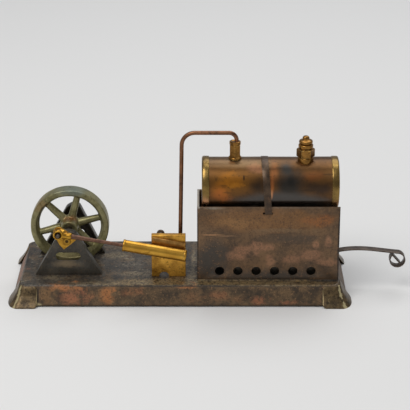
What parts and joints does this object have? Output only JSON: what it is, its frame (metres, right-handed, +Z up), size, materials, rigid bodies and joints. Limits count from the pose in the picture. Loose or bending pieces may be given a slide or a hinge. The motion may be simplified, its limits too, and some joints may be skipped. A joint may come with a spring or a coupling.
{
  "type": "toy stationary steam engine",
  "caption": "Toy stationary steam engine: spirit-fired boiler on a tin firebox feeds an oscillating cylinder that turns a spoked flywheel on a footed tray.",
  "frame": {"origin": "centre of the overall box at the level the feet stand on", "axes": "+X along the tray from flywheel to burner handle, +Y from the cylinder side to the back, +Z up"},
  "size_m": [0.3093, 0.1068, 0.1318],
  "materials": {
    "base_tin": "worn dark paint over rusting tinplate",
    "foot_bronze": "dark bronzed pressings, rubbed bright on the ridge",
    "firebox_tin": "browned and rusting sheet",
    "boiler_copper": "heat-stained copper-coloured brass with soot",
    "cap_brass": "pressed brass, dulled",
    "strap_steel": "blackened strip",
    "fitting_brass": "aged turned brass",
    "pipe_copper": "brown copper-coloured tube",
    "block_brass": "rough aged casting",
    "bracket_tin": "dark slate paint, chipped",
    "bearing_brass": "dull turned brass",
    "wheel_brass": "greenish patina on cast brass",
    "shaft_steel": "dull steel",
    "web_brass": "bright rubbed brass",
    "cylinder_brass": "bright yellow brass",
    "spring_steel": "dark wire",
    "nut_steel": "blackened round nut",
    "rod_steel": "rust-brown rod",
    "burner_tin": "heat-browned tinplate",
    "handle_steel": "dark brown strip"
  },
  "bodies": {
    "base": {"base_tray": "base_tin", "foot_front_left": "foot_bronze", "foot_front_right": "foot_bronze", "foot_back_left": "foot_bronze", "foot_back_right": "foot_bronze", "firebox_front_wall": "firebox_tin", "firebox_back_wall": "firebox_tin", "firebox_left_end": "firebox_tin", "firebox_right_end": "firebox_tin", "boiler_saddle_left": "firebox_tin", "boiler_saddle_right": "firebox_tin", "boiler_shell": "boiler_copper", "boiler_left_cap": "cap_brass", "boiler_right_cap": "cap_brass", "boiler_strap": "strap_steel", "steam_union": "fitting_brass", "safety_valve_bush": "fitting_brass", "safety_valve_body": "fitting_brass", "safety_valve_cap": "fitting_brass", "steam_pipe": "pipe_copper", "steam_block": "block_brass", "front_bracket": "bracket_tin", "rear_bracket": "bracket_tin", "front_bearing": "bearing_brass", "rear_bearing": "bearing_brass"},
    "wheel_and_crank": {"flywheel": "wheel_brass", "crankshaft": "shaft_steel", "crank_web": "web_brass"},
    "cylinder": {"cylinder_tube": "cylinder_brass", "cylinder_end_cap": "cylinder_brass", "port_plate": "cylinder_brass", "pivot_stud": "shaft_steel", "pivot_spring": "spring_steel", "pivot_nut": "nut_steel"},
    "rod": {"piston": "cylinder_brass", "piston_rod": "rod_steel", "big_end": "web_brass", "crankpin": "shaft_steel"},
    "burner": {"burner_tank": "burner_tin", "burner_lid": "burner_tin", "wick_tubes": "burner_tin", "burner_handle": "handle_steel"}
  },
  "joints": [
    {"name": "crankshaft_turn", "type": "hinge", "parent": "base", "child": "wheel_and_crank", "pos_m": [-0.10835, 0.0038, 0.0468], "axis": [0, 1, 0], "continuous": true},
    {"name": "cylinder_swing", "type": "hinge", "parent": "base", "child": "cylinder", "pos_m": [-0.03695, -0.0272, 0.0399], "axis": [0, 1, 0], "range_deg": [-12.7, 2.8]},
    {"name": "rod_slide", "type": "slide", "parent": "cylinder", "child": "rod", "axis": [-0.9834, 0, 0.1815], "range_m": [-0.0167, 0.0026]},
    {"name": "burner_slide", "type": "slide", "parent": "base", "child": "burner", "axis": [1, 0, 0], "range_m": [0, 0.095]}
  ]
}
